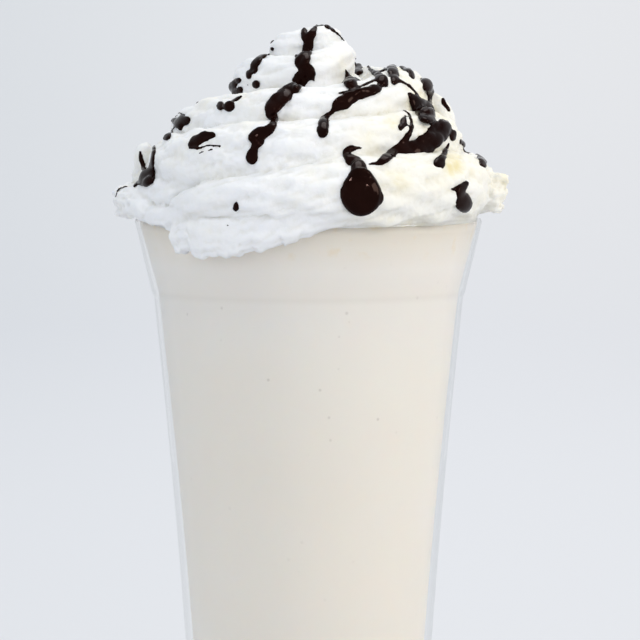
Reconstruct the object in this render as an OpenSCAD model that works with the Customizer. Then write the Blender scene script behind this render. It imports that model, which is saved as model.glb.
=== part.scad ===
// A milkshake in a flared glass tumbler, topped with a coil of whipped cream.
// The origin is the centre of the resting ring under the glass, with +Z up.

/* [Glass] */
// Height of the glass, from the table to the top of its rim
glass_h = 150; // [120:1:190]
// Outer diameter at the rim
rim_d = 88; // [80:1:100]
// Outer diameter of the body just under the shoulder
shoulder_d = 79; // [70:0.5:90]
// Distance from the rim down to the shoulder
shoulder_drop = 18; // [12:0.5:30]
// How far the shoulder stands out from the body below it
shoulder_step = 0.5; // [0:0.1:1]
// Outer diameter of the foot
base_d = 58; // [48:1:66]
// How far the body bows in, half way between foot and shoulder
body_bow = 0.9; // [0:0.1:2]
// Thickness of the wall at the rim
rim_wall = 2.2; // [1.6:0.1:3]
// Thickness of the wall at the foot
foot_wall = 3; // [2:0.1:4]
// Thickness of the solid glass under the drink
floor_t = 12; // [8:0.5:18]
// Radius of the edge where the foot meets the table
foot_r = 2.5; // [1:0.5:4]
// Radius of the corner inside, round the floor
floor_r = 6; // [3:0.5:10]
// Diameter of the hollow under the foot
punt_d = 40; // [20:1:42]
// Depth of the hollow under the foot
punt_depth = 2; // [1:0.5:4]

/* [Milkshake] */
// How far the drink's surface lies below the rim
drink_drop = 3; // [2:0.5:10]

/* [Whipped cream] */
// Height of the cream's tip above the rim
cream_h = 48.5; // [30:0.5:70]
// How far the strand's lowest turn bulges out past the line where it folds
bulge_low = 6; // [3:0.5:9]
// How far the strand's top turn bulges out
bulge_top = 4.5; // [2:0.5:6]
// Turns that the strand makes, from the rim to the tip
turns = 4; // [2:1:5]
// Least and greatest depth that the lowest turn hangs down outside the rim
drape_min = 1; // [0.5:0.5:3]
drape_max = 7; // [3:0.5:12]
// Least thickness of the cream where it lies on the outside of the glass
drape_t = 0.8; // [0.4:0.1:2]
// Direction of the deepest drape, seen from above, anticlockwise from +X
drape_dir = 235; // [0:5:355]
// Direction where the strand starts at the rim; it rises anticlockwise, seen from above
start_dir = 225; // [0:5:355]
// How far the mound swells past the rim, besides the strand's own bulge
overhang = 3.5; // [0:0.5:6]
// How much further it swells towards +X than towards -X
right_swell = 3.5; // [0:0.5:6]
// How far the turns dip towards the front
front_dip = 3; // [0:0.5:5]
// How far the tip leans towards +X
tip_lean = 2; // [-6:0.5:6]
// Ridges that show on each turn of the strand, and how high they stand
ridges = 3; // [2:1:4]
ridge_h = 0.5; // [0:0.1:0.8]

/* [Fineness] */
// Corners round the cream
columns = 68; // [36:4:80]
// Corners up each turn of the strand
per_turn = 12; // [8:1:16]

/* [Hidden] */
$fn = 96;

// Room left between cream and glass, so that the cream's flat facets stay out of the round wall
glass_gap = 0.1;
// Height over which the shoulder's step swells out of the body
shoulder_blend = 2.5;
// How the mound narrows with height, and how its turns share the height: 1 is even, a larger
// mound_power makes it fuller, and a smaller turn_power makes the low turns taller
mound_power = 1.1;
turn_power = 0.7;
// Height of the mound's swelling past the rim, as a share of the strand's whole rise
overhang_rise = 0.25;
// How far each turn sags on the one below it, as a share of its bulge
sag = 0.3;
wall_steps = 20;
arc_steps = 6;
shoulder_z = glass_h - shoulder_drop;
lip_r = rim_wall / 2;
lip_z = glass_h - lip_r;
drink_z = glass_h - drink_drop;
tip_z = glass_h + cream_h;

function mix(a, b, t) = a + (b - a) * t;
function clamp(x, low, high) = min(max(x, low), high);
function smooth(t) = let(u = clamp(t, 0, 1)) u * u * (3 - 2 * u);

// Points on an arc in the r-z plane, from one angle to another
function arc(centre, r, from, to, steps) =
    [for (i = [0:steps]) let(a = mix(from, to, i / steps)) centre + r * [cos(a), sin(a)]];

// The glass's outer wall: a bowed body, a small step at the shoulder and a flare up to the rim
function body_radius(z) =
    mix(base_d / 2, shoulder_d / 2, z / shoulder_z) - body_bow * sin(180 * z / shoulder_z);
function flare_radius(z) =
    mix(shoulder_d / 2 + shoulder_step, rim_d / 2, (z - shoulder_z) / (lip_z - shoulder_z));
function outer_radius(z) =
    z < shoulder_z
        ? body_radius(z) + shoulder_step * smooth(1 - (shoulder_z - z) / shoulder_blend)
        : flare_radius(z);

// The glass's inner wall has no step, and it thins from the foot to the rim
function wall(z) = mix(foot_wall, rim_wall, z / lip_z);
function inner_radius(z) =
    (z < shoulder_z ? body_radius(z) : flare_radius(z) - shoulder_step * (lip_z - z) / shoulder_drop)
    - wall(z);

// The corner round the floor starts where an arc of floor_r meets the wall
corner_z = floor_t + floor_r;
floor_corner = [inner_radius(corner_z) - floor_r, corner_z];

function outer_path() = concat(
    arc([base_d / 2 - foot_r, foot_r], foot_r, -90, 0, arc_steps),
    [for (i = [1:wall_steps]) let(z = mix(foot_r, shoulder_z - shoulder_blend, i / wall_steps))
        [outer_radius(z), z]],
    [for (i = [1:arc_steps]) let(z = mix(shoulder_z - shoulder_blend, shoulder_z, i / arc_steps))
        [outer_radius(z), z]],
    [[flare_radius(lip_z), lip_z]]
);

// The inside, from the middle of the floor up the wall to the height top
function inner_path(top) = concat(
    [[0, floor_t]],
    arc(floor_corner, floor_r, -90, 0, arc_steps),
    [for (i = [1:wall_steps]) let(z = mix(corner_z, min(shoulder_z, top), i / wall_steps))
        [inner_radius(z), z]],
    top > shoulder_z ? [[inner_radius(top), top]] : []
);

function reversed(list) = [for (i = [len(list) - 1:-1:0]) list[i]];

// The hollow under the foot is part of a sphere
punt_ball = (pow(punt_d / 2, 2) + pow(punt_depth, 2)) / (2 * punt_depth);
punt_half_angle = asin(punt_d / 2 / punt_ball);

module glass() {
    color("lightcyan", 0.4)
    rotate_extrude()
    polygon(concat(
        arc([0, punt_depth - punt_ball], punt_ball, 90, 90 - punt_half_angle, arc_steps),
        outer_path(),
        arc([rim_d / 2 - lip_r, lip_z], lip_r, 0, 180, 2 * arc_steps),
        reversed(concat(inner_path(drink_z), [[inner_radius(lip_z), lip_z]]))
    ));
}

module milkshake() {
    color("antiquewhite")
    rotate_extrude()
    polygon(concat(inner_path(drink_z), [[0, drink_z]]));
}

// The cream is one strand that winds up in a helix. A place on it is a bearing, in degrees
// clockwise from the strand's start, and a height count that is a whole number at each fold
// between two turns.
function drape_edge(direction) =
    let(nearness = (1 + cos(direction - drape_dir)) / 2)
    glass_h - mix(drape_min, drape_max, pow(nearness, 2));
function rise(bearing, count) = clamp((count - bearing / 360) / turns, 0, 1);
function swell(direction) = overhang + right_swell * (1 + cos(direction)) / 2;
function fold_radius(up, direction) =
    (rim_d / 2) * (1 - pow(up, mound_power))
    + swell(direction) * sin(180 * clamp(up / overhang_rise, 0, 1));

// Below the rim the cream lies outside the glass
function least_radius(z) =
    z < glass_h ? outer_radius(min(z, lip_z)) + glass_gap + drape_t : 0;
function cream_point(bearing, count) =
    let(
        up = rise(bearing, count),
        direction = start_dir - bearing,
        edge = drape_edge(direction),
        across = count - floor(count),
        fade = 1 - pow(up, 6),
        bulge = mix(bulge_low, bulge_top, up) * fade,
        ridge = ridge_h * fade * cos(360 * ridges * across + 2 * direction) * sin(180 * across),
        dip = front_dip * (1 - sin(direction)) / 2 * sin(180 * up),
        droop = bulge * sag * sin(360 * across) * smooth(up * turns * 2),
        z = mix(edge, tip_z, pow(up, turn_power)) - dip - droop,
        mound_r = fold_radius(up, direction)
            + (bulge + ridge) * sin(180 * across) * smooth(up * turns * 4),
        r = up == 0 ? outer_radius(edge) + glass_gap : max(mound_r, least_radius(z))
    )
    [r * cos(direction) + tip_lean * up * up, r * sin(direction), z];

// Where the cream meets the drink and the glass, in the r-z plane: from the drink's surface up the
// inner wall and over the lip
contact = concat(
    [[inner_radius(drink_z) - glass_gap, drink_z], [inner_radius(lip_z) - glass_gap, lip_z]],
    arc([rim_d / 2 - lip_r, lip_z], lip_r + glass_gap, 150, 0, arc_steps)
);
contact_rows = len(contact);
coil_rows = (turns + 1) * per_turn + 1;
rows = contact_rows + coil_rows;

function cream_column(i) =
    let(bearing = 360 * i / columns, direction = start_dir - bearing)
    concat(
        [for (p = contact) [p[0] * cos(direction), p[0] * sin(direction), p[1]]],
        [for (j = [0:coil_rows - 1]) cream_point(bearing, j / per_turn)]
    );

// Past the last column the helix has risen by one turn, so its rows join those one turn lower
function row_after(i, j) =
    i < columns - 1 || j < contact_rows ? j : contact_rows + max(j - contact_rows - per_turn, 0);
function corner(i, j) =
    i < columns ? i * rows + j : row_after(columns - 1, j);

module whipped_cream() {
    points = concat(
        [for (i = [0:columns - 1]) each cream_column(i)],
        [[0, 0, drink_z]]
    );
    middle = columns * rows;
    triangles = [
        for (i = [0:columns - 1]) each concat(
            [[middle, corner(i + 1, 0), corner(i, 0)]],
            [for (j = [0:rows - 2]) each [
                [corner(i, j), corner(i + 1, j + 1), corner(i, j + 1)],
                [corner(i, j), corner(i + 1, j), corner(i + 1, j + 1)]
            ]]
        )
    ];
    solid_triangles = [
        for (t = triangles)
            if (points[t[0]] != points[t[1]] && points[t[1]] != points[t[2]]
                && points[t[2]] != points[t[0]]) t
    ];
    color("white")
    polyhedron(points, solid_triangles);
}

glass();
milkshake();
whipped_cream();
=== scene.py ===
"""The looks of a vanilla milkshake: clear glass, pale drink, piped whipped cream and chocolate sauce.

Lengths are in millimetres and turn into metres where a mesh is made. Heights of the cream and the
sauce are measured from the rim of the glass. +X is right, -Y is the front and +Z is up.
"""

import math

import bpy
import numpy as np
from mathutils import Matrix, Vector, noise
from mathutils.bvhtree import BVHTree


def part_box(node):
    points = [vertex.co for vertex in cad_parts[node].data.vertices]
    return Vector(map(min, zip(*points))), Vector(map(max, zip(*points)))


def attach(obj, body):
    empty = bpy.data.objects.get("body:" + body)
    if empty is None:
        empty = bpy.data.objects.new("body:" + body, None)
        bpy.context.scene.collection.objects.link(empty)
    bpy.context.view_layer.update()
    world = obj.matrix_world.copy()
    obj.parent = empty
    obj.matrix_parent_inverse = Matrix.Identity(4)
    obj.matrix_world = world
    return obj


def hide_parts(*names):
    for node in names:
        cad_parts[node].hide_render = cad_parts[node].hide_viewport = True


MM = 0.001

# The glass, as in the CAD model
FOOT_D = 58
SHOULDER_D = 79
SHOULDER_DROP = 18
SHOULDER_STEP = 0.5
SHOULDER_BLEND = 2.5
BODY_BOW = 0.9
RIM_WALL = 2.2
FOOT_WALL = 3
FLOOR_T = 12
FOOT_EDGE_R = 2.5
FLOOR_R = 6
PUNT_D = 40
PUNT_DEPTH = 2
# The clear foot under the drink, which bends light more than the wall does, ends at this height
FOOT_TOP = FLOOR_T - 1

# How far the drink and the cream reach into the wall, so that no air gap shows
INTO_WALL = 0.15
DRINK_DROP = RIM_WALL / 2

# Corners round the glass and the drink, round the mound inside the cream and round the stage
ROUND_STEPS = 192
CORE_STEPS = 96
STAGE_STEPS = 96

# The camera: distance, angle above the level, width that it sees at the glass's axis, and its aim
VIEW_DISTANCE = 750
VIEW_ELEVATION = math.radians(4)
VIEW_WIDTH = 162.8
AIM_X = 2.9
AIM_BELOW_RIM = 26.2
SENSOR_MM = 36
EYE_DIRECTION = Vector((0, -math.cos(VIEW_ELEVATION), math.sin(VIEW_ELEVATION)))

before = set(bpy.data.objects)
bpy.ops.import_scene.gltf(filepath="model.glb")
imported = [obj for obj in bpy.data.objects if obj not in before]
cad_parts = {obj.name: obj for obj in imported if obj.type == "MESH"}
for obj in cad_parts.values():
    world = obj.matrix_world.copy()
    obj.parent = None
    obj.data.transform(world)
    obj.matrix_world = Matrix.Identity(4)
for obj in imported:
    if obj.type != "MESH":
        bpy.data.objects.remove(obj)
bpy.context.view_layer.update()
GLASS_LOW, GLASS_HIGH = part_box("glass")
RIM_Z = GLASS_HIGH.z / MM
RIM_R = (GLASS_HIGH.x - GLASS_LOW.x) / 2 / MM
LIP_R = RIM_WALL / 2
LIP_Z = RIM_Z - LIP_R
SHOULDER_Z = RIM_Z - SHOULDER_DROP


# ---------------------------------------------------------------- meshes


def mix(a, b, t):
    return a + (b - a) * t


def smooth(t):
    t = np.clip(t, 0, 1)
    return t * t * (3 - 2 * t)


def new_object(name, verts, faces):
    """A smooth mesh object from points in millimetres."""
    mesh = bpy.data.meshes.new(name)
    mesh.from_pydata([tuple(np.asarray(v, float) * MM) for v in verts], [], faces)
    mesh.validate()
    mesh.update()
    mesh.shade_smooth()
    obj = bpy.data.objects.new(name, mesh)
    bpy.context.scene.collection.objects.link(obj)
    return obj


def points_of(obj):
    """The mesh's points, in millimetres."""
    co = np.zeros(len(obj.data.vertices) * 3, np.float32)
    obj.data.vertices.foreach_get("co", co)
    return co.reshape(-1, 3).astype(float) / MM


def normals_of(obj):
    normals = np.zeros(len(obj.data.vertices) * 3, np.float32)
    obj.data.vertices.foreach_get("normal", normals)
    return normals.reshape(-1, 3).astype(float)


def set_points(obj, points):
    """Moves the mesh's points to these places, in millimetres."""
    obj.data.vertices.foreach_set("co", (points * MM).astype(np.float32).ravel())
    obj.data.update()


def apply_modifiers(obj):
    """Makes the object's modifiers part of its mesh."""
    depsgraph = bpy.context.evaluated_depsgraph_get()
    mesh = bpy.data.meshes.new_from_object(obj.evaluated_get(depsgraph))
    obj.modifiers.clear()
    old = obj.data
    obj.data = mesh
    bpy.data.meshes.remove(old)
    mesh.shade_smooth()


def voxel_union(obj, voxel, smoothing):
    """Turns overlapping closed shapes into one skin, and softens its creases."""
    remesh = obj.modifiers.new("union", "REMESH")
    remesh.mode = "VOXEL"
    remesh.voxel_size = voxel * MM
    soften = obj.modifiers.new("soften", "SMOOTH")
    soften.factor = 0.5
    soften.iterations = smoothing
    apply_modifiers(obj)


def lathe(outline, steps):
    """Points and faces of an outline of (radius, height), turned round the axis that it starts on."""
    closed = outline[-1][0] == 0
    rings = outline[1:-1] if closed else outline[1:]
    verts = [(0, 0, outline[0][1])]
    if closed:
        verts.append((0, 0, outline[-1][1]))
    first = len(verts)
    for i in range(steps):
        a = 2 * math.pi * i / steps
        verts += [(r * math.cos(a), r * math.sin(a), z) for r, z in rings]
    n = len(rings)
    faces = []
    for i in range(steps):
        a = first + i * n
        b = first + (i + 1) % steps * n
        faces.append((0, b, a))
        faces += [(a + j, b + j, b + j + 1, a + j + 1) for j in range(n - 1)]
        if closed:
            faces.append((1, a + n - 1, b + n - 1))
    return verts, faces


def arc(cx, cz, r, start, end, steps):
    """Points of an arc in the radius-height plane, by angles in degrees."""
    angles = np.radians(np.linspace(start, end, steps + 1))
    return [(cx + r * math.cos(a), cz + r * math.sin(a)) for a in angles]


def sphere_points(rings=6, sides=12):
    """Points and faces of a unit sphere."""
    verts = [(0, 0, 1.0)]
    for i in range(1, rings):
        a = math.pi * i / rings
        verts += [(math.sin(a) * math.cos(2 * math.pi * j / sides),
                   math.sin(a) * math.sin(2 * math.pi * j / sides), math.cos(a)) for j in range(sides)]
    verts.append((0, 0, -1.0))
    last = len(verts) - 1
    faces = [(0, 1 + j, 1 + (j + 1) % sides) for j in range(sides)]
    for i in range(rings - 2):
        a, b = 1 + i * sides, 1 + (i + 1) * sides
        faces += [(a + j, b + j, b + (j + 1) % sides, a + (j + 1) % sides) for j in range(sides)]
    low = 1 + (rings - 2) * sides
    faces += [(last, low + (j + 1) % sides, low + j) for j in range(sides)]
    return np.array(verts), faces


def joined(parts):
    """One list of points and faces from several."""
    verts, faces, base = [], [], 0
    for v, f in parts:
        verts.append(np.asarray(v, float))
        faces += [tuple(i + base for i in face) for face in f]
        base += len(v)
    return np.vstack(verts), faces


# ---------------------------------------------------------------- glass and drink


def body_radius(z):
    """Outside of the body, which bows in a little between the foot and the shoulder."""
    t = z / SHOULDER_Z
    return mix(FOOT_D / 2, SHOULDER_D / 2, t) - BODY_BOW * math.sin(math.pi * t)


def flare_radius(z):
    """Outside of the flared band between the shoulder and the rim."""
    t = (z - SHOULDER_Z) / (LIP_Z - SHOULDER_Z)
    return mix(SHOULDER_D / 2 + SHOULDER_STEP, RIM_R, t)


def outer_radius(z):
    """Outside of the glass at any height, with the body blended into the shoulder."""
    if z >= SHOULDER_Z:
        return flare_radius(z)
    return body_radius(z) + SHOULDER_STEP * float(smooth(1 - (SHOULDER_Z - z) / SHOULDER_BLEND))


def inner_radius(z):
    """Inside of the glass, whose wall thins from the foot to the rim."""
    wall = mix(FOOT_WALL, RIM_WALL, z / LIP_Z)
    if z < SHOULDER_Z:
        return body_radius(z) - wall
    return flare_radius(z) - SHOULDER_STEP * (LIP_Z - z) / SHOULDER_DROP - wall


def outside_glass(p, margin):
    """Which points lie outside the glass's wall, or less than the margin inside its outer face."""
    wall = np.array([outer_radius(float(np.clip(z, 0, LIP_Z))) for z in p[:, 2]])
    return np.hypot(p[:, 0], p[:, 1]) > wall - margin


def inside_outline(top, into_wall=0.0):
    """The glass's inside, from the middle of its floor up the wall to the height top."""
    corner_z = FLOOR_T + FLOOR_R
    centre_r = inner_radius(corner_z) - FLOOR_R
    points = [(0, FLOOR_T - into_wall)]
    points += arc(centre_r, corner_z, FLOOR_R + into_wall, -90, 0, 10)
    points += [(inner_radius(z) + into_wall, z) for z in np.linspace(corner_z + 2, top, 60)]
    return points


def build_glass():
    """The glass: hollow under the foot, edge, outer wall, lip and inside."""
    punt_ball = ((PUNT_D / 2) ** 2 + PUNT_DEPTH**2) / (2 * PUNT_DEPTH)
    punt_angle = math.degrees(math.asin(PUNT_D / 2 / punt_ball))
    outline = arc(0, PUNT_DEPTH - punt_ball, punt_ball, 90, 90 - punt_angle, 10)
    outline += arc(FOOT_D / 2 - FOOT_EDGE_R, FOOT_EDGE_R, FOOT_EDGE_R, -90, 0, 8)
    outline += [(outer_radius(z), z) for z in np.linspace(FOOT_EDGE_R + 2, SHOULDER_Z - 4, 40)]
    outline += [(outer_radius(z), z) for z in np.linspace(SHOULDER_Z - 3.2, SHOULDER_Z, 9)]
    outline += [(outer_radius(z), z) for z in np.linspace(SHOULDER_Z + 1, LIP_Z, 10)]
    outline += arc(RIM_R - LIP_R, LIP_Z, LIP_R, 15, 165, 10)
    outline += list(reversed(inside_outline(LIP_Z)))
    return new_object("clear_glass", *lathe(outline, ROUND_STEPS))


def build_milkshake():
    """The drink, from the glass's floor to just under the rim."""
    top = RIM_Z - DRINK_DROP
    outline = inside_outline(top, INTO_WALL) + [(0, top)]
    return new_object("vanilla_milkshake", *lathe(outline, ROUND_STEPS))


# ---------------------------------------------------------------- whipped cream

# Stations along the piped strand: direction in degrees (270 is the front, and a turn adds 360),
# distance from the axis, height over the rim and radius of the strand
STRAND = (
    (221, 42.6, 3.2, 2.2),
    (235, 43.8, 5.0, 3.9),
    (250, 43.9, 6.3, 4.9),
    (266, 42.2, 6.4, 7.2),
    (280, 41.4, 7.2, 8.3),
    (296, 41.0, 7.6, 8.6),
    (320, 40.2, 8.0, 8.6),
    (360, 38.5, 8.0, 8.2),
    (405, 40.5, 7.5, 8.2),
    (450, 41.5, 7.5, 8.3),
    (500, 38.0, 8.5, 8.4),
    (540, 32.2, 11.0, 9.0),
    (568, 33.4, 12.2, 9.3),
    (597, 35.2, 14.4, 8.9),
    (630, 35.2, 17.2, 7.4),
    (660, 34.0, 18.6, 7.0),
    (690, 33.0, 19.0, 7.6),
    (720, 31.6, 17.8, 7.6),
    (765, 31.5, 19.0, 8.0),
    (810, 30.5, 20.0, 8.0),
    (860, 29.0, 20.6, 7.8),
    (900, 27.2, 21.2, 7.5),
    (940, 25.8, 23.6, 7.0),
    (990, 25.5, 26.0, 6.6),
    (1020, 25.2, 27.2, 7.0),
    (1050, 24.0, 28.4, 8.0),
    (1080, 22.4, 29.4, 8.5),
    (1120, 20.4, 29.6, 8.1),
    (1170, 18.0, 30.6, 7.6),
    (1215, 15.0, 32.0, 6.9),
    (1260, 12.8, 33.7, 6.4),
    (1305, 11.3, 34.3, 6.1),
    (1350, 10.6, 35.4, 6.0),
    (1395, 8.0, 37.6, 5.8),
    (1440, 5.4, 39.8, 5.8),
    (1500, 4.2, 40.8, 5.4),
    (1560, 4.8, 41.4, 4.9),
    (1620, 5.2, 41.8, 4.5),
    (1700, 2.6, 43.2, 4.3),
    (1760, 4.2, 44.2, 4.2),
    (1800, 4.8, 44.8, 3.6),
    (1850, 2.8, 46.4, 2.5),
)
# The skirt that hangs outside the glass at the front left
SKIRT = (
    (223.4, 44.0, -3.6, 4.7),
    (228, 44.1, -3.4, 4.6),
    (234, 44.2, -3.2, 4.6),
    (236.5, 44.4, -3.5, 4.8),
    (249, 44.4, -3.2, 4.7),
    (256, 44.2, -1.6, 4.8),
    (265, 43.9, 1.1, 5.0),
    (277, 43.2, 3.9, 5.2),
    (292, 42.6, 6.4, 5.2),
)
# The thin fringe at the skirt's left end
FRINGE = (
    (198, 43.4, 1.8, 1.8),
    (208, 43.8, 1.1, 2.3),
    (216, 43.9, 0.7, 2.7),
    (228, 43.9, 0.6, 2.9),
)
# Torn ends that stick out over the rim. From here on a station is x, y, height over the rim and radius
TORN_LEFT = (
    (-42.0, 8.0, 4.2, 3.6),
    (-44.6, 1.0, 4.3, 4.0),
    (-44.4, -7.0, 4.2, 4.2),
    (-42.4, -13.0, 3.6, 3.8),
    (-39.4, -19.0, 2.6, 3.2),
)
TORN_RIGHT = (
    (36.0, -3.0, 6.4, 5.0),
    (42.0, -4.0, 6.4, 5.2),
    (45.6, -4.6, 6.2, 5.2),
    (48.4, -5.2, 6.0, 5.0),
)
# The fin that stands at the left, the fold that ties it to the strand, and a lump at the right
FIN_LEFT = (
    (-39.0, -3.0, 6.0, 4.6),
    (-41.4, -4.6, 9.4, 3.7),
    (-41.2, -5.4, 12.2, 3.0),
    (-41.2, -6.0, 15.4, 2.5),
    (-40.8, -6.4, 18.0, 1.9),
)
FILL_LEFT = (
    (-38.5, 2.0, 8.0, 5.0),
    (-38.6, -6.0, 7.8, 5.2),
    (-37.2, -13.0, 7.4, 5.2),
    (-34.0, -19.5, 6.8, 4.8),
    (-30.5, -24.5, 6.4, 4.0),
)
LUMP_RIGHT = (
    (29.6, -3.0, 30.6, 2.2),
    (32.6, -4.0, 28.6, 2.4),
    (34.4, -4.4, 26.4, 2.5),
    (35.4, -4.6, 23.4, 2.6),
)
# Loose flakes on the torn ends: middle, spread, how many, and their radius
FLAKES = (
    ((48.0, -5.0, 6.2), (1.6, 3.6, 4.2), 30, 1.3),
    ((-46.8, -3.0, 4.0), (1.6, 6.0, 3.0), 22, 1.1),
)
# The mound inside the strand, above the rim: radius and height over the rim
MOUND = ((40, 6), (34, 14), (27, 22), (18, 31), (9, 38), (3, 42), (0, 43))
# How much wider than the glass's inside the cream's plug is at the lip
PLUG_FLARE = 0.3

CREAM_VOXEL = 0.57
CREAM_SOFTENING = 3
# The nozzle's ridges: how many, their depth as a share of the radius, the part of it that lies below
# the strand's own radius, and how many radians they turn in how many millimetres
RIDGES = 9
RIDGE_DEPTH = 0.095
RIDGE_FOOT = 0.6
RIDGE_TWIST = 0.9
TWIST_LENGTH = 20
# Added to the distance run from one strand to the next, so that each has streaks of its own,
# and how many points are handled at a time
STRAND_GAP = 300
CHUNK = 4000
# The skirt's thickness as a share of its depth
SKIRT_FLAT = 0.64

# Relief on the cream: height, and size of its largest forms. Streaks run along the strand
LUMP_HEIGHT = 0.6
LUMP_SIZE = 12
STREAK_HEIGHT = 0.6
STREAK_SIZE = (16, 2.8, 2.8)
FINE_STREAK_HEIGHT = 0.28
FINE_STREAK_SIZE = (6, 1.4, 1.4)
GRAIN_HEIGHT = 0.16
GRAIN_SIZE = 1.7
TEAR_HEIGHT = 0.8
TEAR_SIZE = 2.2
# Tears begin this far from the middle, and stay below this height over the rim
TORN_X = 43.0
TORN_FADE = 3
TORN_TOP = 15
# The skirt's lower edge: width and drop of its blocks and of its points
BLOCK_WIDTH = 3.4
BLOCK_DROP = 0.9
POINT_WIDTH = 1.7
POINT_DROP = 0.6


def catmull(points, per_span):
    """A smooth line through points, each a tuple of numbers."""
    p = np.array(points, float)
    p = np.vstack([2 * p[0] - p[1], p, 2 * p[-1] - p[-2]])
    out = []
    for i in range(1, len(p) - 2):
        for t in np.linspace(0, 1, per_span, endpoint=False):
            a, b, c, d = p[i - 1], p[i], p[i + 1], p[i + 2]
            out.append(0.5 * (2 * b + (c - a) * t + (2 * a - 5 * b + 4 * c - d) * t * t
                              + (3 * b - a - 3 * c + d) * t**3))
    out.append(p[-2])
    return np.array(out)


def around(stations, per_span):
    """Stations of a strand as points in space and radii."""
    s = catmull(stations, per_span)
    a = np.radians(s[:, 0])
    centres = np.stack([s[:, 1] * np.cos(a), s[:, 1] * np.sin(a), s[:, 2] + RIM_Z], axis=1)
    return centres, s[:, 3]


def tube_frames(centres):
    """Directions along, across and above a line of centres, and the distance run."""
    along = np.gradient(centres, axis=0)
    along /= np.linalg.norm(along, axis=1)[:, None]
    across = np.cross(along, np.array([0, 0, 1.0]))
    across /= np.linalg.norm(across, axis=1)[:, None]
    above = np.cross(across, along)
    run = np.concatenate([[0], np.cumsum(np.linalg.norm(np.diff(centres, axis=0), axis=1))])
    return along, across, above, run


def ridged_tube(centres, radii, flat=1.0, caps=(0.5, 0.7), sides=72):
    """A closed tube with the ridges that a star nozzle leaves, and with blunt cones at its ends."""
    along, across, above, run = tube_frames(centres)
    psi = np.linspace(0, 2 * math.pi, sides, endpoint=False)
    verts = []
    for c, r, u, v, s in zip(centres, radii, across, above, run):
        turned = psi + RIDGE_TWIST * s / TWIST_LENGTH
        ridge = 1 + RIDGE_DEPTH * (np.abs(np.cos(RIDGES / 2 * turned)) - RIDGE_FOOT)
        ring = c + (r * flat * ridge * np.cos(psi))[:, None] * u + (r * ridge * np.sin(psi))[:, None] * v
        verts.append(ring)
    verts.append(centres[:1] - along[0] * radii[0] * caps[0])
    verts.append(centres[-1:] + along[-1] * radii[-1] * caps[1])
    n = len(centres)
    faces = []
    for i in range(n - 1):
        for j in range(sides):
            k = (j + 1) % sides
            faces.append((i * sides + j, i * sides + k, (i + 1) * sides + k, (i + 1) * sides + j))
    for j in range(sides):
        k = (j + 1) % sides
        faces.append((n * sides, k, j))
        faces.append((n * sides + 1, (n - 1) * sides + j, (n - 1) * sides + k))
    return np.vstack(verts), faces


def core():
    """The mound inside the strand, and the plug that fills the glass's last few millimetres."""
    plug_z = RIM_Z - DRINK_DROP - INTO_WALL
    outline = [(0, plug_z), (inner_radius(plug_z) + INTO_WALL, plug_z)]
    outline += [(inner_radius(LIP_Z) + INTO_WALL + PLUG_FLARE, LIP_Z), (RIM_R - 1, RIM_Z + 1)]
    outline += [(r, RIM_Z + z) for r, z in MOUND]
    return lathe(outline, CORE_STEPS)


def fbm(p, size, octaves, seed):
    """Soft noise from -1 to 1 at each point, its largest lumps about size millimetres across."""
    offset = Vector((seed * 17.3, seed * 5.1, seed * 11.7))
    return np.array([noise.fractal(Vector(q) / size + offset, 1.0, 2.0, octaves) for q in p])


def flakes(middle, spread, count, radius, seed):
    """Small lumps scattered about a place, each stretched a little."""
    rng = np.random.default_rng(seed)
    ball, faces = sphere_points(5, 8)
    parts = []
    for _ in range(count):
        place = np.array(middle) + np.array(spread) * rng.uniform(-1, 1, 3)
        place[2] += RIM_Z
        axes = radius * rng.uniform(0.55, 1.25, 3)
        turn = np.array(Matrix.Rotation(rng.uniform(0, 3), 3, Vector(rng.normal(size=3)).normalized()))
        parts.append((place + (ball * axes) @ turn, faces))
    return parts


def strand_space(p, tubes):
    """Each point's place in the strand that it lies on: along it, and the two ways across it."""
    centres = np.vstack([c for c, _ in tubes])
    radii = np.concatenate([r for _, r in tubes])
    frames = [tube_frames(c) for c, _ in tubes]
    along, across, above = (np.vstack([f[i] for f in frames]) for i in range(3))
    run = np.concatenate([f[3] + STRAND_GAP * i for i, f in enumerate(frames)])
    out = np.zeros((len(p), 3))
    for first in range(0, len(p), CHUNK):
        q = p[first:first + CHUNK]
        gap = np.linalg.norm(q[:, None, :] - centres[None], axis=2) - radii
        i = gap.argmin(axis=1)
        away = q - centres[i]
        s = run[i] + (away * along[i]).sum(axis=1)
        a = (away * across[i]).sum(axis=1)
        b = (away * above[i]).sum(axis=1)
        turn = -RIDGE_TWIST * run[i] / TWIST_LENGTH
        out[first:first + CHUNK] = np.stack([s, a * np.cos(turn) - b * np.sin(turn),
                                             a * np.sin(turn) + b * np.cos(turn)], axis=1)
    return out


def cream_relief(p, tubes):
    """How far each point of the cream moves out: lumps, streaks along the strand, grain and tears."""
    space = strand_space(p, tubes)
    lumps = LUMP_HEIGHT * fbm(p, LUMP_SIZE, 2, 1)
    streaks = STREAK_HEIGHT * fbm(space / STREAK_SIZE, 1, 2, 2)
    fine_streaks = FINE_STREAK_HEIGHT * fbm(space / FINE_STREAK_SIZE, 1, 1, 5)
    grain = GRAIN_HEIGHT * fbm(p, GRAIN_SIZE, 2, 3)
    torn = smooth((np.abs(p[:, 0]) - TORN_X) / TORN_FADE) * (p[:, 2] - RIM_Z < TORN_TOP)
    tears = torn * TEAR_HEIGHT * fbm(p * (1, 1, 1.6), TEAR_SIZE, 2, 4)
    return lumps + (streaks + fine_streaks) + grain + tears


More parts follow.
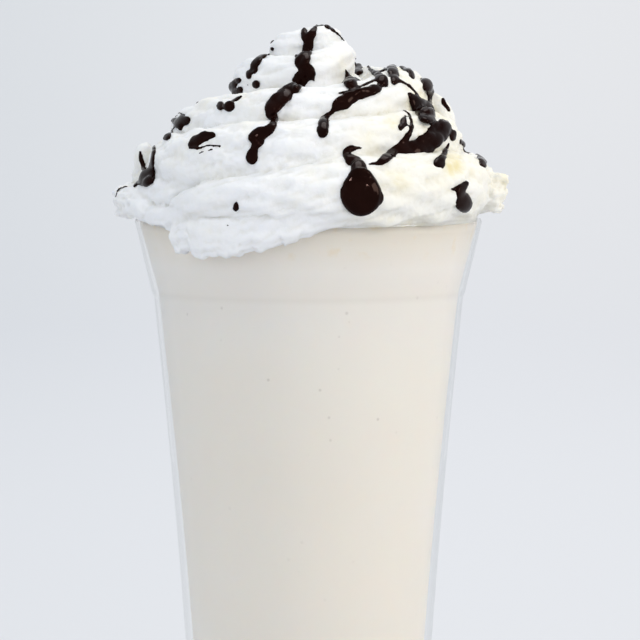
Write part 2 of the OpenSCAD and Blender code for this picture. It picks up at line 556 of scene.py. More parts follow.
def ragged_skirt(p):
    """Lets the skirt's lower edge hang in blocks and points."""
    height = p[:, 2] - RIM_Z
    place = np.arctan2(p[:, 1], p[:, 0]) * RIM_R
    low = smooth((1.0 - height) / 5) * outside_glass(p, 0.3) * (p[:, 1] < 0)
    blocks = np.array([noise.cell(Vector((a / BLOCK_WIDTH, 2.5, 0.5))) for a in place])
    points = np.array([noise.noise(Vector((a / POINT_WIDTH, 7.5, h / 9))) for a, h in zip(place, height)])
    p[:, 2] -= low * (BLOCK_DROP * blocks + POINT_DROP * points)


def cream_tubes():
    """The centre line and the radii of each strand of the cream."""
    tubes = [around(STRAND, 10), around(SKIRT, 10), around(FRINGE, 8)]
    for stations in (TORN_LEFT, TORN_RIGHT, FIN_LEFT, FILL_LEFT, LUMP_RIGHT):
        line = catmull(stations, 8)
        tubes.append((line[:, :3] + (0, 0, RIM_Z), line[:, 3]))
    return tubes


def cream_parts(tubes):
    """The overlapping closed shapes that the cream is made of."""
    strand, skirt, fringe, torn_left, torn_right, *others = tubes
    parts = [core(), ridged_tube(*strand)]
    parts.append(ridged_tube(*skirt, SKIRT_FLAT, (0.05, 0.5)))
    parts.append(ridged_tube(*fringe, SKIRT_FLAT))
    parts.append(ridged_tube(*torn_left))
    parts.append(ridged_tube(*torn_right, 1.0, (0.5, 0.2)))
    parts += [ridged_tube(*tube) for tube in others]
    for i, values in enumerate(FLAKES):
        parts += flakes(*values, 20 + i)
    return parts


def build_cream():
    """One skin over all the strands, with relief wherever it isn't inside the glass."""
    tubes = cream_tubes()
    cream = new_object("piped_cream", *joined(cream_parts(tubes)))
    voxel_union(cream, CREAM_VOXEL, CREAM_SOFTENING)
    p = points_of(cream)
    inside = (p[:, 2] - RIM_Z < 0.5) & ~outside_glass(p, 0.2)
    p += normals_of(cream) * np.where(inside, 0.0, cream_relief(p, tubes))[:, None]
    ragged_skirt(p)
    set_points(cream, p)
    return cream


# ---------------------------------------------------------------- chocolate sauce

# Each run of sauce is a list of (x, height over the rim, width), as seen from the front
FRONT_RUNS = (
    # the long drizzle down the middle
    ((2.3, 48.7, 0.9), (1.2, 46.9, 2.0), (0.1, 45.0, 3.0), (-0.1, 42.8, 2.9), (-0.6, 40.9, 2.9),
     (-1.7, 39.6, 3.5), (-1.9, 38.5, 2.6)),
    ((-1.2, 47.2, 1.7), (-1.2, 46.0, 1.9), (-1.3, 45.0, 1.4)),
    ((-3.1, 40.9, 1.0), (-2.9, 39.6, 1.6), (-2.2, 38.6, 1.8)),
    ((-1.2, 37.9, 2.6), (-0.3, 36.8, 3.8), (-0.6, 36.0, 3.6), (-2.4, 35.2, 2.8), (-3.6, 34.8, 1.6)),
    ((0.9, 36.2, 2.0), (1.3, 35.0, 1.0), (1.4, 34.5, 0.8)),
    ((-0.8, 34.1, 1.2), (-1.8, 33.7, 2.2), (-3.4, 32.8, 3.0), (-5.0, 31.7, 3.8), (-6.6, 30.4, 3.8),
     (-8.2, 28.8, 4.1), (-9.6, 27.5, 3.6), (-9.8, 26.3, 2.9), (-8.8, 25.2, 2.2), (-9.0, 23.7, 2.0),
     (-9.6, 22.6, 2.2)),
    ((-14.2, 20.2, 2.6), (-12.6, 20.9, 3.6), (-10.6, 22.0, 3.2), (-9.0, 22.8, 1.8)),
    ((-11.8, 19.0, 2.0), (-13.2, 18.4, 2.0), (-14.1, 16.9, 2.4), (-14.2, 15.4, 3.1), (-14.2, 14.6, 2.8)),
    # over the tip
    ((3.2, 48.4, 0.8), (4.5, 48.2, 1.3), (6.1, 47.2, 1.1), (7.7, 46.0, 0.8), (9.0, 44.5, 0.5)),
    # the chain down the left of the tip
    ((-9.3, 44.7, 1.3), (-9.4, 44.2, 1.4)),
    ((-9.2, 42.6, 1.2), (-9.1, 42.4, 1.2)),
    ((-10.4, 41.0, 1.3), (-12.0, 40.4, 2.2), (-13.3, 39.0, 2.3), (-14.1, 38.0, 1.4)),
    ((-15.0, 36.5, 1.7), (-15.1, 35.6, 1.6)),
    ((-13.4, 37.2, 1.5), (-13.5, 36.6, 1.5)),
    ((-17.6, 34.5, 1.5), (-19.0, 33.6, 2.2), (-19.3, 32.3, 2.3), (-18.2, 31.5, 2.6), (-17.3, 32.3, 1.8)),
    ((-13.3, 33.6, 2.6), (-13.2, 33.4, 2.6)),
    ((-15.4, 33.4, 0.7), (-15.3, 33.3, 0.7)),
    ((-22.4, 28.0, 2.0), (-22.2, 28.4, 2.0)),
    ((-20.1, 28.0, 3.3), (-19.9, 28.1, 3.3)),
    ((-19.4, 29.2, 1.4), (-18.2, 29.7, 1.3), (-17.0, 30.5, 0.8)),
    # splashes at the left
    ((-34.4, 26.1, 0.6), (-33.0, 26.4, 0.6), (-31.4, 25.9, 0.6)),
    ((-34.2, 24.4, 1.6), (-32.6, 24.0, 3.0), (-30.9, 24.5, 2.2)),
    ((-32.4, 23.8, 2.4), (-32.3, 22.5, 1.6)),
    ((-34.0, 22.6, 0.7), (-34.8, 21.7, 0.9), (-35.7, 20.4, 1.8), (-36.5, 19.9, 1.0)),
    ((-29.9, 18.4, 1.8), (-28.6, 19.1, 2.7), (-26.8, 20.0, 3.0), (-24.6, 20.7, 2.5)),
    ((-30.1, 17.5, 1.0), (-27.6, 17.5, 0.8), (-25.0, 18.2, 0.7), (-22.4, 17.9, 0.8)),
    ((-27.6, 16.2, 0.5), (-26.7, 16.6, 0.5)),
    ((-25.3, 16.9, 0.5), (-24.4, 17.2, 0.5)),
    ((-42.6, 16.6, 0.8), (-42.4, 14.6, 1.4), (-41.6, 12.2, 1.6), (-41.0, 10.8, 1.6)),
    ((-38.9, 19.8, 0.6), (-39.2, 17.0, 1.4), (-39.6, 14.0, 1.9), (-39.8, 11.5, 2.3), (-39.9, 9.4, 2.0)),
    ((-44.2, 7.8, 1.0), (-43.0, 8.8, 2.2), (-41.6, 9.8, 3.2), (-40.4, 10.6, 3.4)),
    ((-42.4, 8.3, 1.4), (-41.2, 8.8, 2.2), (-40.3, 9.3, 2.4)),
    ((-46.2, 7.7, 0.6), (-48.2, 7.0, 0.6), (-48.9, 5.2, 0.6)),
    ((-18.4, 3.4, 1.2), (-18.4, 2.2, 1.7)),
    ((-20.6, -2.2, 0.8), (-20.5, -2.2, 0.8)),
    # the drizzle at the right of the tip
    ((18.8, 33.4, 1.6), (16.3, 32.2, 2.6), (13.7, 31.4, 2.8), (10.6, 30.2, 3.4), (8.0, 28.5, 3.6),
     (6.4, 27.1, 1.8), (5.8, 26.3, 1.4), (4.6, 25.6, 1.9), (3.9, 24.0, 2.5), (3.7, 22.3, 3.0),
     (3.7, 21.4, 2.7)),
    ((7.7, 31.3, 0.9), (10.5, 31.7, 1.3), (13.7, 33.2, 1.0), (17.5, 35.0, 1.0)),
    ((11.9, 40.1, 0.7), (12.4, 38.6, 1.6), (12.6, 37.4, 2.8), (12.4, 36.6, 2.2)),
    ((9.4, 37.2, 0.7), (10.0, 35.6, 1.8), (10.5, 34.4, 3.2), (11.0, 33.8, 2.8)),
    ((15.0, 38.0, 0.9), (16.6, 38.8, 1.0), (18.2, 38.4, 1.1), (19.8, 37.1, 1.0)),
    ((15.4, 37.4, 0.9), (17.0, 36.3, 1.9), (18.4, 35.0, 2.8), (19.4, 33.4, 1.9)),
    ((20.8, 38.4, 2.5), (21.4, 36.4, 3.0), (21.9, 34.4, 2.0)),
    ((23.8, 37.6, 2.4), (25.6, 36.8, 2.0), (26.3, 35.2, 1.5)),
    ((22.6, 34.6, 1.2), (24.8, 33.6, 1.0), (26.4, 32.2, 0.9), (27.7, 30.8, 0.8)),
    ((28.8, 34.8, 1.5), (30.0, 33.4, 3.2), (30.8, 31.4, 2.5)),
    ((34.0, 29.8, 1.2), (34.4, 28.4, 1.6), (35.6, 27.0, 1.0)),
    ((25.6, 31.0, 1.5), (27.4, 29.1, 3.1), (29.2, 26.8, 4.9), (29.8, 25.0, 4.7)),
    ((31.0, 31.2, 1.2), (30.6, 29.0, 1.6), (30.2, 27.0, 2.4)),
    ((24.1, 27.0, 0.7), (25.5, 25.9, 0.8), (26.1, 23.7, 1.2), (25.5, 21.2, 1.6), (23.9, 18.9, 1.7)),
    ((24.5, 25.6, 0.7), (23.9, 23.9, 2.1), (23.3, 22.5, 1.4)),
    # the wide patch at the right
    ((22.6, 17.7, 1.8), (24.2, 17.0, 4.4), (26.4, 16.8, 4.9), (28.8, 17.8, 4.9), (31.0, 19.2, 4.5),
     (33.2, 20.8, 4.1), (34.6, 22.4, 3.2), (35.1, 24.2, 1.2)),
    ((29.4, 20.6, 1.2), (31.6, 22.4, 2.0), (34.0, 24.4, 1.4)),
    ((21.9, 17.3, 1.8), (21.0, 15.8, 2.6), (19.1, 14.5, 2.4), (17.5, 13.7, 1.3), (15.3, 13.4, 0.7)),
    ((35.5, 18.6, 0.8), (34.4, 16.1, 1.7), (33.1, 13.6, 2.7)),
    # the big drop under its hooked neck
    ((13.3, 17.5, 0.7), (11.0, 17.4, 1.7), (9.5, 16.4, 2.1), (10.3, 14.9, 2.5), (12.2, 13.7, 3.4),
     (13.0, 12.0, 3.8), (13.1, 10.3, 4.9), (13.1, 8.8, 6.6), (13.3, 7.2, 8.4), (13.5, 5.8, 9.0),
     (13.7, 4.8, 8.0), (13.8, 2.8, 4.4), (13.9, 1.4, 1.8)),
    ((9.0, 5.9, 1.6), (10.6, 5.8, 5.0), (13.6, 5.4, 8.6), (16.5, 5.1, 5.4), (18.1, 4.9, 1.8)),
    # small drops at the right
    ((36.5, 21.2, 2.2), (36.6, 20.0, 2.3)),
    ((38.4, 19.2, 1.5), (39.6, 18.2, 1.6), (40.8, 17.2, 1.1)),
    ((43.2, 16.2, 1.7), (43.8, 14.8, 2.8), (44.1, 13.4, 2.3)),
    ((36.2, 7.2, 0.7), (38.2, 7.2, 2.2), (40.0, 8.4, 1.9)),
    ((38.9, 7.2, 2.2), (38.8, 5.4, 3.0), (39.2, 3.9, 4.2), (39.7, 2.7, 3.4)),
)
# Seeded runs for the right side, the back and the left side: degrees round from the front, which are
# the seed too, how far they spread from the middle, and how many strokes. They stay behind BACK_Y
SIDE_RUNS = ((90, 20, 4), (180, 34, 7), (270, 20, 4))
BACK_Y = 9

SAUCE_VOXEL = 0.31
SAUCE_SOFTENING = 5
# Thinner strokes than this would be lost when the dabs are joined
LEAST_WIDTH = 0.66
# Dabs that are seen at a slant are stretched at most by one over this
LEAST_FACING = 0.42
# Below this slant a dab counts as seen straight on
STRAIGHT_ON = 0.05
# A dab's half width is never less than this share of its width
LEAST_HALF = 0.3
# Distance between dabs, and how many dabs each way a run's normals are softened over
SAUCE_STEP = 0.35
NORMAL_REACH = 8
# How much a run swells and wanders, as shares of its width, and over what length
SWELL = 0.28
SWELL_SIZE = 1.1
WANDER = 0.16
WANDER_SIZE = 1.6


def eye_position():
    aim = Vector((AIM_X, 0, RIM_Z - AIM_BELOW_RIM))
    return aim + EYE_DIRECTION * VIEW_DISTANCE


def seen_places(run, tree, eye, turn, behind):
    """Where a run falls on the cream, seen from the eye: place, normal and width of each point."""
    places = []
    for x, z, width in catmull(run, 12):
        target = turn @ Vector((x, 0, RIM_Z + z))
        hit, normal, _, _ = tree.ray_cast(eye, (target - eye).normalized())
        if hit is None:
            hit, normal, _, _ = tree.find_nearest(target)
        if behind and hit.y < BACK_Y:
            break
        places.append((hit, normal, max(width, LEAST_WIDTH)))
    return places


def without_gaps(places, tree):
    """Adds places between those that lie far apart, so that a run stays whole over folds in the cream."""
    out = places[:1]
    for here in places[1:]:
        before = out[-1]
        steps = max(1, int((here[0] - before[0]).length / SAUCE_STEP))
        for i in range(1, steps + 1):
            t = i / steps
            between = before[0].lerp(here[0], t)
            normal = here[1]
            if steps > 1:
                between, normal, _, _ = tree.find_nearest(between)
            out.append((between, normal, mix(before[2], here[2], t)))
    return out


def softened(normals):
    """Normals that turn slowly along a run."""
    kernel = np.hanning(2 * NORMAL_REACH + 3)[1:-1]
    padded = np.pad(normals, ((NORMAL_REACH, NORMAL_REACH), (0, 0)), "edge")
    soft = np.stack([np.convolve(padded[:, i], kernel, "valid") for i in range(3)], axis=1)
    return soft / np.linalg.norm(soft, axis=1)[:, None]


def ragged_run(centres, normals, widths):
    """Lets a run wander a little sideways, and swell and thin."""
    swell = np.array([noise.noise(Vector(c) / SWELL_SIZE) for c in centres])
    wander = np.array([noise.noise(Vector(c) / WANDER_SIZE + Vector((9, 5, 3))) for c in centres])
    sideways = np.cross(normals, np.gradient(centres, axis=0)) if len(centres) > 1 else normals * 0
    sideways /= np.linalg.norm(sideways, axis=1)[:, None] + 1e-6
    centres = centres + sideways * (WANDER * np.minimum(widths, 4) * wander)[:, None]
    widths = widths * (1 + SWELL * swell * np.clip(6 / widths, 0, 1))
    return centres, widths


def thickness(width):
    """How far sauce of that width stands out of the cream."""
    return 0.15 + 0.17 * width + 0.007 * width**2


def lay_run(run, tree, azimuth):
    """The dabs that a run of sauce is made of: centre, normal, width, height and sight line of each."""
    turn = Matrix.Rotation(math.radians(azimuth), 3, "Z")
    eye = turn @ eye_position()
    places = seen_places(run, tree, eye, turn, azimuth != 0)
    if not places:
        return []
    places = without_gaps(places, tree)
    centres = np.array([tuple(c) for c, _, _ in places])
    normals = softened(np.array([tuple(n) for _, n, _ in places]))
    widths = np.array([w for _, _, w in places])
    heights = thickness(widths)
    centres, widths = ragged_run(centres, normals, widths)
    sight = centres - np.array(eye)
    sight /= np.linalg.norm(sight, axis=1)[:, None]
    return zip(centres, normals, widths, heights, sight)


def seeded_stroke(rng, x):
    """A winding stroke that starts near x, runs down and ends in a drop."""
    z = min(45, 42 - 0.62 * abs(x) + rng.uniform(-3, 5))
    lean = rng.choice((-1, 1))
    run = [(x, z, 1.0)]
    for _ in range(rng.integers(5, 9)):
        x += lean * rng.uniform(-0.6, 3.4)
        z -= rng.uniform(1.2, 3.8)
        run.append((x, z, rng.uniform(1.4, 4.4)))
    z = max(z - 2.5, 3)
    run += [(x, z, rng.uniform(1.4, 2.2)), (x + 0.3, z - 2.4, rng.uniform(2.8, 5.0))]
    return [place for place in run if place[1] > 1]


def seeded_drop(rng, reach):
    """A short drop or dot of sauce."""
    x = rng.uniform(-reach, reach)
    z = rng.uniform(5, 42 - 0.6 * abs(x))
    width = rng.uniform(0.9, 3.2)
    return [(x, z, width), (x + rng.uniform(-1.5, 1.5), z - rng.uniform(0.3, 3.0), width * 0.8)]


def drizzle(seed, reach, strokes):
    """Seeded runs of sauce in the manner of those at the front: winding strokes, drops and dots."""
    rng = np.random.default_rng(seed)
    runs = []
    for i in range(strokes):
        x = mix(-reach, reach, (i + 0.5) / strokes) + rng.uniform(-3, 3)
        runs.append(seeded_stroke(rng, x))
    for _ in range(3 * strokes):
        runs.append(seeded_drop(rng, reach))
    return runs


def dab_axes(normal, width, height, sight):
    """Half axes of one dab of sauce, longer where it is seen at a slant, so that it looks as wide."""
    facing = max(-float(normal @ sight), LEAST_FACING)
    slanted = sight - (sight @ normal) * normal
    if np.linalg.norm(slanted) < STRAIGHT_ON:
        slanted = np.cross(normal, (1.0, 0.0, 0.0))
    slanted /= np.linalg.norm(slanted)
    level = np.cross(normal, slanted)
    stands = height * math.sqrt(max(0.0, 1 - facing**2))
    half = math.sqrt(max((width / 2) ** 2 - stands**2, (LEAST_HALF * width) ** 2)) / facing
    return np.stack([slanted * half, level * width / 2, normal * height])


def build_sauce(cream):
    """All runs of sauce laid on the cream, as one skin over many dabs."""
    faces = [tuple(f.vertices) for f in cream.data.polygons]
    tree = BVHTree.FromPolygons([Vector(q) for q in points_of(cream)], faces)
    runs = [(run, 0) for run in FRONT_RUNS]
    for azimuth, reach, strokes in SIDE_RUNS:
        runs += [(run, azimuth) for run in drizzle(azimuth, reach, strokes)]
    ball, ball_faces = sphere_points()
    parts = []
    for run, azimuth in runs:
        for centre, *dab in lay_run(run, tree, azimuth):
            parts.append((centre + ball @ dab_axes(*dab), ball_faces))
    sauce = new_object("chocolate_drizzle", *joined(parts))
    voxel_union(sauce, SAUCE_VOXEL, SAUCE_SOFTENING)
    return sauce


# ---------------------------------------------------------------- materials


def grey(value):
    return (value, value, value)


def principled(name, **values):
    """A material with one Principled shader, and its node tree."""
    material = bpy.data.materials.new(name)
    material.use_nodes = True
    shader = material.node_tree.nodes["Principled BSDF"]
    for socket, value in values.items():
        shader.inputs[socket.replace("_", " ")].default_value = value
    return material, material.node_tree, shader


def object_place(tree):
    """The place on a piece, in metres."""
    return tree.nodes.new("ShaderNodeTexCoord").outputs["Object"]


def axis_node(tree, axis):
    """The place on a piece along one axis, in metres."""
    split = tree.nodes.new("ShaderNodeSeparateXYZ")
    tree.links.new(object_place(tree), split.inputs[0])
    return split.outputs[axis]


def noise_node(tree, scale, detail=3.0, roughness=0.5):
    texture = tree.nodes.new("ShaderNodeTexNoise")
    texture.inputs["Scale"].default_value = scale
    texture.inputs["Detail"].default_value = detail
    texture.inputs["Roughness"].default_value = roughness
    tree.links.new(object_place(tree), texture.inputs["Vector"])
    return texture.outputs["Fac"]


def ramp_node(tree, source, stops):
    ramp = tree.nodes.new("ShaderNodeValToRGB")
    ramp.color_ramp.elements[0].position = stops[0][0]
    ramp.color_ramp.elements[0].color = (*stops[0][1], 1)
    ramp.color_ramp.elements[1].position = stops[-1][0]
    ramp.color_ramp.elements[1].color = (*stops[-1][1], 1)
    for position, color in stops[1:-1]:
        ramp.color_ramp.elements.new(position).color = (*color, 1)
    tree.links.new(source, ramp.inputs["Fac"])
    return ramp.outputs["Color"]


def bump_node(tree, source, distance, strength=1.0):
    bump = tree.nodes.new("ShaderNodeBump")
    bump.inputs["Strength"].default_value = strength
    bump.inputs["Distance"].default_value = distance * MM
    tree.links.new(source, bump.inputs["Height"])
    return bump.outputs["Normal"]


def height_node(tree, low, high):
    """0 at the height low and 1 at high, in millimetres."""
    span = tree.nodes.new("ShaderNodeMapRange")
    span.inputs["From Min"].default_value = low * MM
    span.inputs["From Max"].default_value = high * MM
    tree.links.new(axis_node(tree, "Z"), span.inputs["Value"])
    return span.outputs["Result"]


def math_node(tree, operation, first, second):
    node = tree.nodes.new("ShaderNodeMath")
    node.operation = operation
    for socket, value in zip(node.inputs, (first, second)):
        if isinstance(value, (int, float)):
            socket.default_value = value
        else:
            tree.links.new(value, socket)
    return node.outputs[0]


def mix_node(tree, blend, factor, first, second):
    """Two colours put together, each a socket or a fixed colour."""
    node = tree.nodes.new("ShaderNodeMix")
    node.data_type = "RGBA"
    node.blend_type = blend
    for socket, value in ((node.inputs[0], factor), (node.inputs["A"], first), (node.inputs["B"], second)):
        if isinstance(value, bpy.types.NodeSocket):
            tree.links.new(value, socket)
        else:
            socket.default_value = value
    return node.outputs["Result"]


def speck_mask(tree, height):
    """Small scattered vanilla specks, most of them below the shoulder of the glass."""
    cells = tree.nodes.new("ShaderNodeTexVoronoi")
    cells.inputs["Scale"].default_value = 210
    tree.links.new(object_place(tree), cells.inputs["Vector"])
    dots = ramp_node(tree, cells.outputs["Distance"], [(0.05, grey(0.5)), (0.11, grey(0))])
    some = math_node(tree, "GREATER_THAN", cells.outputs["Color"], 0.5)
    band = ramp_node(tree, height, [(0.0, grey(0.3)), (0.2, grey(1)), (0.6, grey(1)), (0.75, grey(0.2))])
    return math_node(tree, "MULTIPLY", math_node(tree, "MULTIPLY", dots, some), band)


# Where thin sauce has soaked into the front of the cream: x, height over the rim, radius and strength
STAINS = (
    (35.3, 13.6, 3.6, 0.95),
    (32.0, 10.5, 5.5, 0.22),
    (27.2, 28.8, 3.8, 0.90),
    (20.8, 23.8, 3.2, 0.45),
    (21.6, 9.6, 4.2, 0.36),
    (13.0, 20.0, 5.0, 0.16),
    (-3.6, 24.0, 4.5, 0.16),
)
STAIN_COLOR = (0.80, 0.69, 0.33, 1)


def stain_mask(tree, x, z, radius, strength):
    """A soft cloudy spot that fades out from one place on the front of the cream."""
    place = tree.nodes.new("ShaderNodeVectorMath")
    place.operation = "MULTIPLY_ADD"
    place.inputs[1].default_value = (1, 0, 1)
    place.inputs[2].default_value = (-x * MM, 0, -(RIM_Z + z) * MM)
    tree.links.new(object_place(tree), place.inputs[0])
    away = tree.nodes.new("ShaderNodeVectorMath")
    away.operation = "LENGTH"
    tree.links.new(place.outputs["Vector"], away.inputs[0])
    span = math_node(tree, "DIVIDE", away.outputs["Value"], radius * MM)
    fade = ramp_node(tree, span, [(0.1, grey(strength)), (1.0, grey(0))])
    front = math_node(tree, "LESS_THAN", axis_node(tree, "Y"), 0)
    cloud = ramp_node(tree, noise_node(tree, 330, 3, 0.6), [(0.35, grey(0.35)), (0.6, grey(1))])
    return math_node(tree, "MULTIPLY", math_node(tree, "MULTIPLY", fade, front), cloud)


def cream_color(tree):
    """Painted light: cool white at the left where the cool fill falls and warmer at the right where the warm
    key falls, with the cream's pale yellow clouds kept to that warm-lit right, and painted shade darkening
    the creases.
    """
    clouds = ramp_node(tree, noise_node(tree, 75, 3, 0.6),
                       [(0.42, grey(0)), (0.58, grey(0.3)), (0.72, grey(1))])
    tenths = math_node(tree, "MULTIPLY", axis_node(tree, "X"), 10)
    # Painted light: the left is cooled and the right warmed, as the cool fill and the warm key fall on the
    # cream.
    side = ramp_node(tree, tenths, [(0.0, grey(0.35)), (0.3, grey(1))])
    painted_light_tone = ramp_node(tree, side, [(0.35, (0.915, 0.92, 0.935)), (1.0, (0.905, 0.89, 0.835))])
    # The pale yellow clouds are the cream's own tint, but the side mask keeps them to the warm-lit right, so
    # they are partly painted light.
    where = math_node(tree, "MULTIPLY", clouds, side)
    tinted = mix_node(tree, "MIX", where, painted_light_tone, (0.92, 0.86, 0.66, 1))
    # Painted shade: pointiness darkens and yellows the creases between the coils, where shade falls.
    geometry = tree.nodes.new("ShaderNodeNewGeometry")
    creases = ramp_node(tree, geometry.outputs["Pointiness"],
                        [(0.40, (0.84, 0.82, 0.75)), (0.47, (0.94, 0.935, 0.91)), (0.505, (1, 1, 1))])
    return mix_node(tree, "MULTIPLY", 1.0, tinted, creases)


def cream_material():
    material, tree, shader = principled("whipped_cream", Roughness=0.5, Subsurface_Weight=0.2,
                                        Subsurface_Scale=0.002, Specular_IOR_Level=0.4)
    shader.inputs["Subsurface Radius"].default_value = (1.0, 0.9, 0.75)
    color = cream_color(tree)
    for stain in STAINS:
        color = mix_node(tree, "MIX", stain_mask(tree, *stain), color, STAIN_COLOR)
    tree.links.new(color, shader.inputs["Base Color"])
    bump = bump_node(tree, noise_node(tree, 900, 5, 0.65), 0.3, 0.8)
    tree.links.new(bump, shader.inputs["Normal"])
    return material


def milkshake_color(tree):
    """Pale cream with faint bands of tone, a painted dark ring at the shoulder where the glass's step bends
    the light, painted shade just under the cream, froth under the rim and small specks.
    """
    base = ramp_node(tree, noise_node(tree, 30, 2), [(0.3, (0.925, 0.87, 0.80)), (0.7, (0.93, 0.885, 0.825))])
    height = height_node(tree, RIM_Z - 60, RIM_Z)
    # Faint bands of tone, with painted shade: a darker ring at the shoulder where the glass's step bends the
    # light, and a darker, warmer band just under the cream.
    layers_and_painted_shade = ramp_node(tree, height, [(0.0, (1, 0.985, 0.955)), (0.35, (1, 0.99, 0.965)), (0.6, (1, 1, 1)),
                                      (0.662, (1, 1, 1)), (0.684, (0.955, 0.95, 0.94)),
                                      (0.70, (0.985, 0.98, 0.975)), (0.80, (1, 1, 1)),
                                      (0.90, (0.96, 0.94, 0.90)), (0.96, (0.90, 0.86, 0.79))])
    color = mix_node(tree, "MULTIPLY", 1.0, base, layers_and_painted_shade)
    near_rim = ramp_node(tree, height, [(0.84, grey(0)), (0.90, grey(1))])
    froth = ramp_node(tree, noise_node(tree, 190, 3, 0.6), [(0.56, grey(0)), (0.72, grey(0.6))])
    where = math_node(tree, "MULTIPLY", near_rim, froth)
    color = mix_node(tree, "MIX", where, color, (0.86, 0.70, 0.46, 1))
    return mix_node(tree, "MIX", speck_mask(tree, height), color, (0.60, 0.54, 0.47, 1))


def milkshake_material():
    material, tree, shader = principled("milkshake", Roughness=0.4, Subsurface_Weight=0.3,
                                        Subsurface_Scale=0.006)
    shader.inputs["Subsurface Radius"].default_value = (1.0, 0.8, 0.6)
    tree.links.new(milkshake_color(tree), shader.inputs["Base Color"])
    return material


def sauce_material():
    material, tree, shader = principled("chocolate_sauce", Roughness=0.08, Specular_IOR_Level=0.07)
    shader.inputs["Specular Tint"].default_value = (1.0, 0.62, 0.54, 1)
    color = ramp_node(tree, noise_node(tree, 160, 2),
                      [(0.35, (0.006, 0.0015, 0.001)), (0.7, (0.011, 0.003, 0.002))])
    tree.links.new(color, shader.inputs["Base Color"])
    return material


def glass_material(name, ior, edge_tint):
    """Clear glass whose wall looks greyer where it is seen edge on."""
    material, tree, shader = principled(name, Roughness=0.0, IOR=ior, Transmission_Weight=1.0,
                                        Coat_Weight=1.0, Coat_Roughness=0.02)
    slant = tree.nodes.new("ShaderNodeLayerWeight")
    slant.inputs["Blend"].default_value = 0.5
    color = ramp_node(tree, slant.outputs["Facing"], [(0.55, (0.985, 0.985, 0.98)), (0.85, edge_tint)])
    tree.links.new(color, shader.inputs["Base Color"])
    return material


# ---------------------------------------------------------------- stage, light and camera

STAGE_R = 2600
STAGE_WALL = 2600
STAGE_BEND = 900
# The soft sky, and the lamps: name, place in metres, size in metres, power in watts and colour
SKY_COLOR = (0.90, 0.95, 1.0, 1)
SKY_STRENGTH = 0.63
LAMPS = (
    ("key", (1.3, -0.5, 0.75), 0.5, 5.7, (1.0, 0.94, 0.83)),
    ("sparkle_right", (0.8, -1.2, 0.75), 0.055, 2.2, (1.0, 0.98, 0.95)),
    ("sparkle_top", (-0.3, -0.7, 1.3), 0.055, 1.9, (1.0, 1.0, 1.0)),
    ("fill", (-1.3, -1.0, 0.6), 1.0, 1.3, (0.84, 0.92, 1.0)),
    ("top", (0.1, 0.5, 1.5), 0.8, 5.3, (1.0, 0.99, 0.97)),
)
LAMP_AIM = (0, 0, 0.12)
# The tall strips that edge the glass with light: width, height and power
STRIP_W = 0.09
STRIP_H = 1.6
STRIP_POWER = 0.22


def stage_material():
    """A pale surface with a soft glow that is dimmer near the glass and at the left."""
    material, tree, shader = principled("pale_stage", Roughness=0.9, Specular_IOR_Level=0.1)
    shader.inputs["Base Color"].default_value = (0.32, 0.325, 0.33, 1)
    shader.inputs["Emission Strength"].default_value = 0.585
    away = tree.nodes.new("ShaderNodeVectorMath")
    away.operation = "LENGTH"
    tree.links.new(object_place(tree), away.inputs[0])
    span = math_node(tree, "DIVIDE", away.outputs["Value"], STAGE_R * MM)
    glow = ramp_node(tree, span, [(0.1, (0.755, 0.775, 0.825)), (0.65, (0.84, 0.86, 0.91)),
                                  (1.0, (0.95, 0.965, 0.99))])
    across = math_node(tree, "ADD", axis_node(tree, "X"), 0.5)
    shade = ramp_node(tree, across, [(0.1, (0.83, 0.85, 0.865)), (0.5, (1.0, 1.0, 1.0)),
                                     (0.9, (1.0, 0.985, 0.975))])
    color = mix_node(tree, "MULTIPLY", 1.0, glow, shade)
    tree.links.new(color, shader.inputs["Emission Color"])
    return material


def build_stage():
    """A round floor that bends up into a wall on all sides."""
    flat = STAGE_R - STAGE_BEND
    outline = [(r, 0) for r in np.linspace(0, flat, 12)]
    outline += arc(flat, STAGE_BEND, STAGE_BEND, -90, 0, 20)[1:]
    outline += [(STAGE_R, STAGE_WALL)]
    stage = new_object("stage", *lathe(outline, STAGE_STEPS))
    stage.data.flip_normals()
    stage.data.materials.append(stage_material())


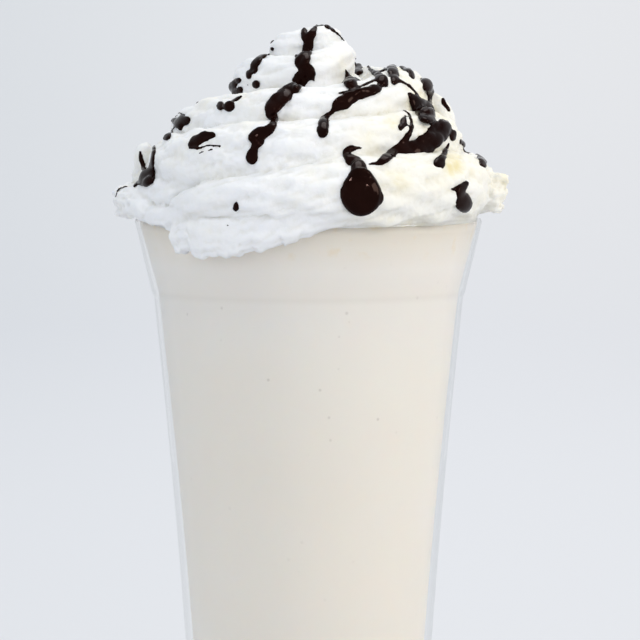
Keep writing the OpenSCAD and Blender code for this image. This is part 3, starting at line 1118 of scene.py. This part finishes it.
def area_light(name, place, size, power, color):
    light = bpy.data.lights.new(name, "AREA")
    light.shape = "DISK"
    light.size = size
    light.energy = power
    light.color = color
    obj = bpy.data.objects.new(name, light)
    obj.location = place
    obj.rotation_euler = (Vector(LAMP_AIM) - Vector(place)).to_track_quat("-Z", "Y").to_euler()
    bpy.context.scene.collection.objects.link(obj)
    return light


def build_light():
    world = bpy.data.worlds.new("soft_sky")
    world.use_nodes = True
    background = world.node_tree.nodes["Background"]
    background.inputs["Color"].default_value = SKY_COLOR
    background.inputs["Strength"].default_value = SKY_STRENGTH
    bpy.context.scene.world = world
    for side in (-1, 1):
        light = area_light("edge_strip", (side * 0.97, 1.27, 0.25), STRIP_W, STRIP_POWER, grey(1.0))
        light.shape = "RECTANGLE"
        light.size_y = STRIP_H
    for lamp in LAMPS:
        area_light(*lamp)


def build_camera():
    camera = bpy.data.cameras.new("camera")
    camera.sensor_width = SENSOR_MM
    camera.lens = SENSOR_MM * VIEW_DISTANCE / VIEW_WIDTH
    camera.clip_start = 0.01
    camera.clip_end = 20
    obj = bpy.data.objects.new("camera", camera)
    obj.location = eye_position() * MM
    obj.rotation_euler = (-EYE_DIRECTION).to_track_quat("-Z", "Y").to_euler()
    bpy.context.scene.collection.objects.link(obj)
    bpy.context.scene.camera = obj


def dress(obj, materials, node=None):
    """Gives a piece its finish and its place in the frame."""
    obj.data.materials.clear()
    for material in materials:
        obj.data.materials.append(material)
    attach(obj, "root")
    if node:
        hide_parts(node)


def main():
    build_camera()
    build_light()
    build_stage()
    bpy.context.scene.view_settings.view_transform = "Standard"
    cream = build_cream()
    sauce = build_sauce(cream)
    glass = build_glass()
    for face in glass.data.polygons:
        face.material_index = int(face.center.z < FOOT_TOP * MM)
    wall_glass = glass_material("clear_glass", 1.02, (0.74, 0.75, 0.745))
    foot_glass = glass_material("clear_glass_foot", 1.3, (0.90, 0.91, 0.905))
    dress(glass, [wall_glass, foot_glass], "glass")
    dress(build_milkshake(), [milkshake_material()], "milkshake")
    dress(cream, [cream_material()], "whipped_cream")
    dress(sauce, [sauce_material()])


main()
